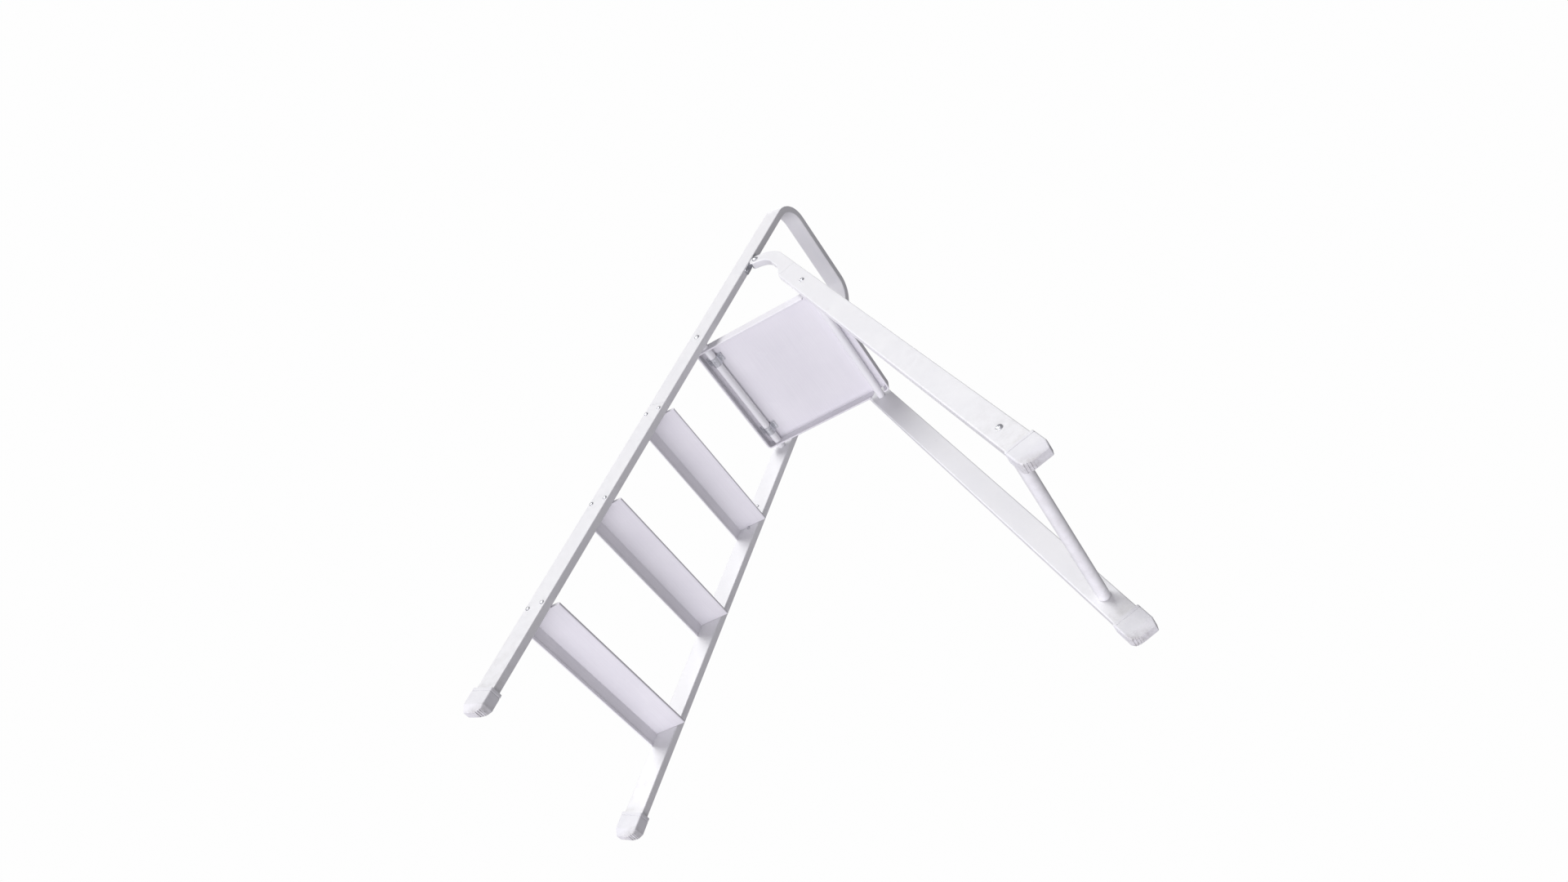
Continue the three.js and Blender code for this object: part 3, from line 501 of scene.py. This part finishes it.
def tread(node):
    """A deck with rounded edges and a long hemmed lip, trimmed to the leaning stiles."""
    top = node_box(node)[1].z
    slope = math.tan(SLOPE)
    front = FRONT_FLOOR_Y + top * slope
    bottom = -(TREAD_THICK + TREAD_LIP)
    lip = LIP_THICK / math.cos(SLOPE)
    rear = TUBE_DEPTH / math.cos(SLOPE) + TREAD_OVERHANG - TREAD_THICK * slope
    hem_thick, hem_top = HEM[0], bottom + HEM[1]
    outline = filleted([
        (0, 0, 2.6), (bottom * slope, bottom, 1.2), (bottom * slope + lip + hem_thick, bottom, 1.2),
        (hem_top * slope + lip + hem_thick, hem_top, 0.8), (hem_top * slope + lip, hem_top, 0.3),
        (lip - TREAD_THICK * slope, -TREAD_THICK, 1.6), (rear, -TREAD_THICK, 2.4), (rear, 0, 3.4)])
    rings = []
    for side in (-1, 1):
        ring = []
        for u, v in outline:
            y, z = front + u, top + v
            ring.append((side * (front_inner_x(y, z) - GAP), y, z))
        rings.append(ring)
    return loft(rings)


def rib(x0, x1, y, width, base, height):
    """A rounded rib along X, sinking into the mat at both ends."""
    root = base - 0.4
    rings = []
    for x, share in ((x0, 0.05), (x0 + 0.8, 0.7), (x0 + 2, 1), (x1 - 2, 1), (x1 - 0.8, 0.7), (x1, 0.05)):
        ring = [(x, y - width / 2, root), (x, y + width / 2, root)]
        for a in (math.pi * k / 8 for k in range(9)):
            reach = width / 2 * math.cos(a) * (1 - 0.12 * math.sin(a))
            ring.append((x, y + reach, max(base + height * share * math.sin(a) ** 0.7, base)))
        rings.append(ring)
    return loft(rings)


def mat(node, base, pitch):
    """A rubber mat with a soft rim and rounded ribs."""
    low, high = node_box(node)
    width, length = high.x - low.x, high.y - low.y
    middle = (low + high) / 2
    rings = []
    for inset, z in ((0.5, 0), (0, 0.3), (0, base - 0.6), (0.25, base - 0.15), (0.8, base)):
        rings.append([(middle.x + x, middle.y + y, low.z + z)
                      for x, y in rounded_rectangle(width - 2 * inset, length - 2 * inset, 4 - inset)])
    count = int(length / pitch)
    first = low.y + (length - (count - 0.5) * pitch) / 2 + 0.25 * pitch
    height = high.z - low.z - base
    ribs = [rib(low.x + 3, high.x - 3, first + k * pitch, pitch * 0.56, low.z + base, height)
            for k in range(count)]
    return together(loft(rings), *ribs)


def boot(node, leg, side, rim, height):
    """A moulded boot: soft rim, a parting groove, bevelled end, level grooved sole."""
    z0 = rim - height
    bevel = z0 + FOOT_BEVEL
    pocket = (FOOT_WIDTH - TUBE_WIDTH - 2 * GAP) / 2
    profile = [
        (pocket, rim - 10), (pocket, rim - 1), (pocket - 0.8, rim), (1.2, rim), (0.35, rim - 0.35),
        (0, rim - 1.2), (0, rim - 6.4), (0.7, rim - 6.9), (0.7, rim - 8.1), (0, rim - 8.6),
        (0, bevel + 1.6), (0.25, bevel + 0.4), (0.8, bevel - 1.2),
        (FOOT_INSET - 0.9, z0 + 1.5), (FOOT_INSET + 0.2, z0 + 0.3), (FOOT_INSET + 1.4, z0)]
    rings = []
    for inset, z in profile:
        radius = max(3.2 - inset * 0.2, 1.6)
        section = rounded_rectangle(FOOT_WIDTH - 2 * inset, FOOT_DEPTH - 2 * inset, radius)
        rings.append(on_leg(leg, side, section, z))
    sole = node.replace("foot", "sole")
    spot = Vector(next(m for m in RECORD["mounts"] if m["name"] == sole)["pos_m"]) / MM
    pitch, half_width, depth = 5.2, 0.9, 1.4
    grooves = [block(spot.x - FOOT_WIDTH, spot.x + FOOT_WIDTH,
                     spot.y + k * pitch - half_width, spot.y + k * pitch + half_width, -1, depth)
               for k in range(-3, 4)]
    return carved(above_floor(loft(rings)), together(*grooves))


def cross_tube(radius, y, z, clear_x):
    """A round tube between two leaning legs, with a shallow swage mark near each end."""
    turns = [2 * math.pi * k / 48 for k in range(48)]

    def ring(side, back, inset):
        points = []
        for a in turns:
            dy, dz = (radius - inset) * math.cos(a), (radius - inset) * math.sin(a)
            points.append((side * (clear_x(y + dy, z + dz) - GAP - back), y + dy, z + dz))
        return points

    marks = ((0, 0.5), (0.5, 0), (21, 0), (21.6, 0.4), (23.4, 0.4), (24, 0))
    return loft([ring(-1, *m) for m in marks] + [ring(1, *m) for m in reversed(marks)])


# The side view of a hinge arm in (y, z) of the rear plane.
BEND_CENTRE = (TUBE_DEPTH - ARM_DEPTH - ARM_BEND, ARM_BEND_START)
PIVOT_IN_REAR = (BEND_CENTRE[0] + (ARM_BEND + ARM_DEPTH / 2) * math.cos(ARM_ANGLE),
                 BEND_CENTRE[1] + (ARM_BEND + ARM_DEPTH / 2) * math.sin(ARM_ANGLE))


def arm_outline(inset, start, overrun=0):
    """Up the outer side, round the pivot end or straight past it, and down the inner side."""
    outer, inner = ARM_BEND + ARM_DEPTH - inset, ARM_BEND + inset
    outline = [(TUBE_DEPTH - inset, start), *arc(BEND_CENTRE, outer, 0, ARM_ANGLE, 24)]
    if overrun:
        on = (-math.sin(ARM_ANGLE) * overrun, math.cos(ARM_ANGLE) * overrun)
        outline += [(outline[-1][0] + on[0], outline[-1][1] + on[1])]
        end = arc(BEND_CENTRE, inner, ARM_ANGLE, ARM_ANGLE, 1)[0]
        outline += [(end[0] + on[0], end[1] + on[1])]
    else:
        outline += arc(PIVOT_IN_REAR, ARM_DEPTH / 2 - inset, ARM_ANGLE, ARM_ANGLE + math.pi, 20)[1:-1]
    outline += arc(BEND_CENTRE, inner, ARM_ANGLE, 0, 24)
    inner_y = TUBE_DEPTH - ARM_DEPTH
    return outline + [(inner_y + inset, ARM_TAPER_END), (inset, start)]


def hinge_arm(name, side):
    """A hollow tapered arm that bends over to the pivot, open at its end for the tongue."""
    x0, x1 = sorted((0, -side * TUBE_WIDTH))
    start = ARM_START + GAP
    outside = soft_slab(lambda inset: arm_outline(inset, start + inset * 0.3), x0, x1, radius=2.4)
    bore = prism(arm_outline(ARM_WALL, ARM_START + ARM_BORE_START, ARM_BORE_OVERRUN),
                 x0 + ARM_WALL, x1 - ARM_WALL)
    return placed(carved(outside, bore), REAR_LEG[name])


def pivot_on_stile(side):
    """The pivot's place in the front plane: above the stile's middle line, and how far up."""
    middle = front_inner_x(PIVOT.y, PIVOT.z) + TUBE_WIDTH / 2
    return side * middle, FRONT.inverted() @ PIVOT


def hinge_lug(side):
    """A riveted plate with a tongue that stands inside the hollow arm."""
    middle, eye = pivot_on_stile(side)
    face, root = TUBE_DEPTH + GAP, TUBE_DEPTH + GAP + 1
    width, thick, length = LUG_PLATE
    rings = []
    for inset, y in ((0, face), (0, face + thick - 0.5), (0.15, face + thick - 0.15), (0.5, face + thick)):
        outline = rounded_rectangle(width - 2 * inset, length - 2 * inset, 4)
        rings.append([(x, y, eye.z + z) for x, z in outline])

    def tongue_outline(inset):
        end = arc((eye.y, eye.z), LUG_NECK - inset, -math.pi / 2, math.pi / 2, 20)
        return [(root, eye.z - LUG_NECK + inset), *end, (root, eye.z + LUG_NECK - inset)]

    def weld_outline(inset):
        crest, low, high = face + thick + 1.6, eye.z - LUG_NECK + inset, eye.z + LUG_NECK - inset
        return filleted([(root, low - 2, 0.4), (crest, low + 0.5, 1), (crest, high - 0.5, 1),
                         (root, high + 2, 0.4)])

    half, bead = LUG_THICK / 2, LUG_THICK / 2 + 1.2
    tongue = soft_slab(tongue_outline, -half, half, radius=0.8, n=3)
    weld = soft_slab(weld_outline, -bead, bead, radius=1)
    return placed(together(loft(rings), tongue, weld), FRONT @ Matrix.Translation((middle, 0, 0)))


def on_lug_plate(side, offset):
    """Stands a rivet on the lug's plate."""
    middle, eye = pivot_on_stile(side)
    seat = Matrix.Translation((middle, TUBE_DEPTH + LUG_PLATE[1] + 2 * GAP, eye.z + offset))
    return FRONT @ seat @ Matrix.Rotation(-math.pi / 2, 4, "X")


# ------------------------------------------------------------------ fixings


def cross_recess(radius, depth, top):
    """The tapered cross that a screwdriver fits."""
    rings = []
    for reach, share, z in ((radius * 0.34, 0.7, top - depth), (radius * 0.52, 1, top + 0.5)):
        outline = rounded_rectangle(2 * reach, 0.2 * radius * share, 0.09 * radius * share, 2)
        rings.append([(x, y, z) for x, y in outline])
    slot = loft(rings)
    return slot, placed(slot, Matrix.Rotation(math.pi / 2, 4, "Z"))


def dome(radius, height, n=7):
    """The (radius, height) profile of a pan head, from its rim to its middle."""
    return [(radius * math.cos(a) ** 0.55, height * (0.3 + 0.7 * math.sin(a)))
            for a in (math.pi / 2 * k / n for k in range(n))] + [(radius * 0.12, height)]


def screw(shank, length, radius, height):
    """A pan-head screw on a thin washer, head at z = 0 and above."""
    washer = [(radius - 0.2, 0), (radius, 0.15), (radius, 0.4), (radius * 0.93, 0.55)]
    head = [(r, 0.5 + h * (height - 0.5) / height) for r, h in dome(radius * 0.86, height)]
    body = lathed([(shank, -length), (shank, 0), *washer, *head])
    return carved(body, *cross_recess(radius, height * 0.55, height))


def rivet(shank, length, radius, height):
    """A domed blind rivet with the dimple of its mandrel."""
    head = ((0.9, 0.62), (0.66, 0.92), (0.42, 1), (0.34, 0.96), (0.28, 0.6), (0.05, 0.55))
    return lathed([(shank, -length), (shank, 0), (radius, 0), (radius, 0.3),
                   *((radius * r, height * h) for r, h in head)])


def hexagon(radius, z0, z1):
    corners = [k * math.pi / 3 for k in range(6)]
    return loft([[(radius * math.cos(a), radius * math.sin(a), z) for a in corners] for z in (z0, z1)])


def pivot_bolt():
    """A flanged button head with a hexagon socket."""
    shank = [(PIVOT_RADIUS, -22.3), (PIVOT_RADIUS, 0)]
    flange = [(7.8, 0), (8, 0.2), (8, 0.7), (7.7, 1.0), (6.4, 1.1)]
    button = [(6.2 * math.cos(a) ** 0.6, 1.1 + 2.3 * math.sin(a)) for a in (0.1, 0.5, 0.9, 1.2, 1.4)]
    return carved(lathed([*shank, *flange, *button, (1.5, 3.4)], 40), hexagon(2.6, 1.4, 4))


def pivot_nut():
    """A chamfered lock nut, 3.6 thick, with the ring of its insert."""
    chamfered = lathed([(6.3, 0), (7.0, 0.5), (7.0, 2.3), (6.3, 2.7)], 48)
    body = carved(hexagon(7, 0, 2.7), chamfered, operation="INTERSECT")
    collar = lathed([(5.4, 2.4), (5.4, 3.2), (5.0, 3.6), (4.4, 3.6), (4.2, 3.3)], 40)
    return together(body, collar)


def along_x(direction, x, y, z):
    """Stands a fixing on the point, its head towards +X or -X."""
    return Matrix.Translation((x, y, z)) @ Matrix.Rotation(direction * math.pi / 2, 4, "Y")


def fixed(node, form, direction, height):
    """A fixing whose head, of that height, is at the end of its CAD node that direction points to."""
    low, high = node_box(node)
    middle = (low + high) / 2
    x = (high.x if direction > 0 else low.x) - direction * height
    piece(node, placed(form, along_x(direction, x, middle.y, middle.z)), "zinc", sharp=FIXING_SHARP)


# ------------------------------------------------------------------ platform


def pan():
    """A folded tray with rounded shoulders and a rolled bead, notched for the rear tube."""
    low, high = node_box("platform_pan")
    middle = (low + high) / 2
    width, length = high.x - low.x, high.y - low.y
    top, bottom, under = high.z, low.z, high.z - PAN_SHEET
    inner = PAN_SHOULDER - PAN_SHEET
    profile = [(PAN_SHOULDER * (1 - math.sin(a)), top - PAN_SHOULDER * (1 - math.cos(a)))
               for a in (math.pi / 2 * k / 6 for k in range(7))]
    profile += [(PAN_BEAD * (1 - math.cos(a)), bottom + PAN_BEAD * (1 - math.sin(a)))
                for a in (math.pi * k / 12 for k in range(15))]
    profile += [(PAN_SHEET, bottom + 2 * PAN_BEAD)]
    profile += [(PAN_SHEET + inner * (1 - math.sin(a)), under - inner * (1 - math.cos(a)))
                for a in (math.pi / 2 * k / 4 for k in range(4, -1, -1))]
    rings = []
    for inset, z in profile:
        outline = rounded_rectangle(width - 2 * inset, length - 2 * inset, PAN_CORNER - inset, 8)
        rings.append([(middle.x + x, middle.y + y, z) for x, y in outline])
    beyond = width / 2 + 1
    tube = node_centre("rear_platform_tube").y
    notch_top, notch_bottom = PAN_UNDERSIDE - 0.05, bottom - 1
    notch = prism([
        (tube - NOTCH_TOP, notch_top), (tube - NOTCH_MIDDLE, CROSS_TUBE_Z),
        (tube - NOTCH_BOTTOM, notch_bottom), (tube + NOTCH_BEHIND, notch_bottom),
        (tube + NOTCH_BEHIND, notch_top)], -beyond, beyond)
    bore = CROSS_TUBE_RADIUS + RUNNING_FIT
    front_tube = node_centre("platform_pivot_tube")
    hole = placed(lathed([(bore, -beyond), (bore, beyond)], 48), along_x(1, 0, front_tube.y, front_tube.z))
    return carved(loft(rings), notch, hole)


def pivot_clip(node):
    """A strap under the front tube with a weld dimple on each flange."""
    low, high = node_box(node)
    centre = node_centre("platform_pivot_tube")
    inner, outer = CROSS_TUBE_RADIUS + RUNNING_FIT, CROSS_TUBE_RADIUS + 2
    top, flange = high.z - centre.z, (high.y - low.y) / 2
    sheet = outer - inner
    below = arc((0, 0), inner, 0, -math.pi, 24)
    over = arc((0, 0), outer, math.pi, 2 * math.pi, 24)
    outline = [(flange, top - sheet), (flange, top), (inner, top), *below, (-inner, top), (-flange, top),
               (-flange, top - sheet), (-outer, top - sheet), *over, (outer, top - sheet)]
    strap = prism([(centre.y + u, centre.z + v) for u, v in outline], low.x, high.x)
    middle = (low.x + high.x) / 2
    dimple = lathed([(2.6, 1.8), (2.6, 1.2), (1.7, 0.8), (0.3, 0.7)], 24)
    reach = (flange + outer) / 2
    welds = [placed(dimple, Matrix.Translation((middle + dx, centre.y + dy, high.z - sheet - 1.2)))
             for dx in (-6, 6) for dy in (-reach, reach)]
    return together(strap, *welds)


# ------------------------------------------------------------------ assembly

LEG_START = {end: rim - FOOT_POCKET for end, (rim, _) in FOOT_SIZES.items()}
TREAD_SCREW_HEAD, CROSS_TUBE_SCREW_HEAD, SMALL_SCREW_HEAD = 2.4, 3, 1.8
BOLT_HEAD, NUT_HEIGHT = 3.4, 3.6
TREAD_SCREW = screw(2.1, 42, 4.6, TREAD_SCREW_HEAD)
CROSS_TUBE_SCREW = screw(3, 36, 6.5, CROSS_TUBE_SCREW_HEAD)
SMALL_SCREW = screw(2, 5, 4, SMALL_SCREW_HEAD)
LUG_RIVET = rivet(2, 5, 4, 1.6)
BOLT, NUT = pivot_bolt(), pivot_nut()

for name, side in SIDES:
    piece(f"stile_{name}", leg_tube(FRONT_LEG[name], side, LEG_START["front"], SEAM), "white_frame")
    piece(f"rear_leg_{name}", leg_tube(REAR_LEG[name], side, LEG_START["rear"], ARM_START), "white_frame")
    piece(f"hinge_arm_{name}", hinge_arm(name, side), "white_frame")
    piece(f"hinge_lug_{name}", hinge_lug(side), "zinc")
    for label, legs in (("front", FRONT_LEG), ("rear", REAR_LEG)):
        node = f"{label}_foot_{name}"
        piece(node, boot(node, legs[name], side, *FOOT_SIZES[label]), "foot_plastic")
    piece(f"pivot_clip_{name}", pivot_clip(f"pivot_clip_{name}"), "zinc", edge=0.35)
    for number in (1, 2, 3):
        for where in ("front", "rear"):
            fixed(f"tread_{number}_screw_{where}_{name}", TREAD_SCREW, side, TREAD_SCREW_HEAD)
    for label in ("pivot_tube_screw", "rear_tube_screw", "crossbar_screw"):
        fixed(f"{label}_{name}", CROSS_TUBE_SCREW, side, CROSS_TUBE_SCREW_HEAD)
    for label in ("seam_screw_lower", "seam_screw_upper", "arm_screw"):
        fixed(f"{label}_{name}", SMALL_SCREW, -side, SMALL_SCREW_HEAD)
    fixed(f"pivot_bolt_{name}", BOLT, side, BOLT_HEAD)
    fixed(f"pivot_nut_{name}", NUT, -side, NUT_HEIGHT)
    for label, offset in LUG_RIVET_OFFSETS:
        piece(f"lug_rivet_{label}_{name}", placed(LUG_RIVET, on_lug_plate(side, offset)), "zinc",
              sharp=FIXING_SHARP)

piece("handrail_hoop", hoop(), "white_frame")
for number in (1, 2, 3):
    piece(f"tread_{number}", tread(f"tread_{number}"), "tread_metal")
    piece(f"tread_mat_{number}", mat(f"tread_mat_{number}", *TREAD_MAT_SIZES), "grip_rubber")
for node, radius, clear_x in (
        ("platform_pivot_tube", CROSS_TUBE_RADIUS, front_inner_x),
        ("rear_platform_tube", CROSS_TUBE_RADIUS, rear_inner_x),
        ("rear_crossbar", CROSSBAR_RADIUS, rear_inner_x)):
    at = node_centre(node)
    piece(node, cross_tube(radius, at.y, at.z, clear_x), "white_frame")
piece("platform_pan", pan(), "tread_metal")
piece("platform_mat", mat("platform_mat", *PLATFORM_MAT_SIZES), "grip_rubber")

for name, _ in SIDES:
    sleeve = frame["nodes"][f"hoop_spigot_{name}"]
    sleeve.data.materials.clear()
    sleeve.data.materials.append(LOOKS["zinc"])

# ------------------------------------------------------------------ floor and light


def floor_material():
    """Pale floor that fades out at a distance. It is clear from below, where the view comes from.
    It neither blocks the light from below nor throws light back up at the ladder."""
    s = Shader("floor", specular=0.2)
    s.bump(s.noise(60, 3), 0.0002, 0.2)
    material = s.done(s.blend(s.noise(2, 2), (0.77, 0.765, 0.80), (0.81, 0.805, 0.835)),
                      s.ranged(s.noise(6, 3), 0.3, 0.7, 0.75, 0.9))
    away = s.node("ShaderNodeVectorMath", {0: s.place}, operation="LENGTH").outputs["Value"]
    from_below = s.node("ShaderNodeNewGeometry", {}).outputs["Backfacing"]
    path = s.node("ShaderNodeLightPath", {}).outputs
    clearness = s.ranged(away, 1.6, 6.5)
    for other in (from_below, path["Is Shadow Ray"], path["Is Diffuse Ray"]):
        clearness = s.node("ShaderNodeMath", {0: clearness, 1: other}, operation="MAXIMUM").outputs[0]
    clear = s.node("ShaderNodeBsdfTransparent", {}).outputs[0]
    mix = s.node("ShaderNodeMixShader", {0: clearness, 1: s.surface.outputs[0], 2: clear})
    s.tree.links.new(mix.outputs[0], s.tree.nodes["Material Output"].inputs["Surface"])
    return material


def floor():
    half, drop = 9, 0.0006  # metres; the drop keeps it clear of the soles
    mesh = bpy.data.meshes.new("floor")
    corners = [(-half, -half, 0), (half, -half, 0), (half, half, 0), (-half, half, 0)]
    mesh.from_pydata(corners, [], [(0, 1, 2, 3)])
    made = bpy.data.objects.new("floor", mesh)
    made.location.z = -drop
    mesh.materials.append(floor_material())
    scene.collection.objects.link(made)


def soft_light(name, come_from, strength, spread, colour):
    """Even light from one direction, as soft as a large window."""
    data = bpy.data.lights.new(name, "SUN")
    data.energy = strength
    data.angle = math.radians(spread)
    data.color = colour
    made = bpy.data.objects.new(name, data)
    made.rotation_euler = Vector(come_from).to_track_quat("Z", "Y").to_euler()
    scene.collection.objects.link(made)


def studio_world():
    """Dim light from all round, in front of a near-white backdrop."""
    world = bpy.data.worlds.new("studio")
    world.use_nodes = True
    tree = world.node_tree
    light = tree.nodes["Background"]
    light.inputs["Color"].default_value = (0.97, 0.95, 1.0, 1)
    light.inputs["Strength"].default_value = 0.28
    backdrop = tree.nodes.new("ShaderNodeBackground")
    backdrop.inputs["Color"].default_value = (0.99, 0.99, 0.99, 1)
    seen = tree.nodes.new("ShaderNodeLightPath").outputs["Is Camera Ray"]
    mix = tree.nodes.new("ShaderNodeMixShader")
    for socket, source in ((0, seen), (1, light.outputs[0]), (2, backdrop.outputs[0])):
        tree.links.new(source, mix.inputs[socket])
    tree.links.new(mix.outputs[0], tree.nodes["World Output"].inputs["Surface"])
    scene.world = world


WHITE, LILAC = (1, 1, 1), (0.955, 0.93, 1.0)

floor()
soft_light("side_light", (0.86, -0.32, 0.40), 2.3, 35, WHITE)
soft_light("top_light", (-0.2, -0.3, 1), 0.65, 50, WHITE)
soft_light("light_from_below", (0.12, -0.12, -0.98), 1.65, 45, LILAC)
soft_light("light_from_below_in_front", (0.1, -0.75, -0.65), 0.95, 45, LILAC)
studio_world()
scene.view_settings.view_transform = "Standard"
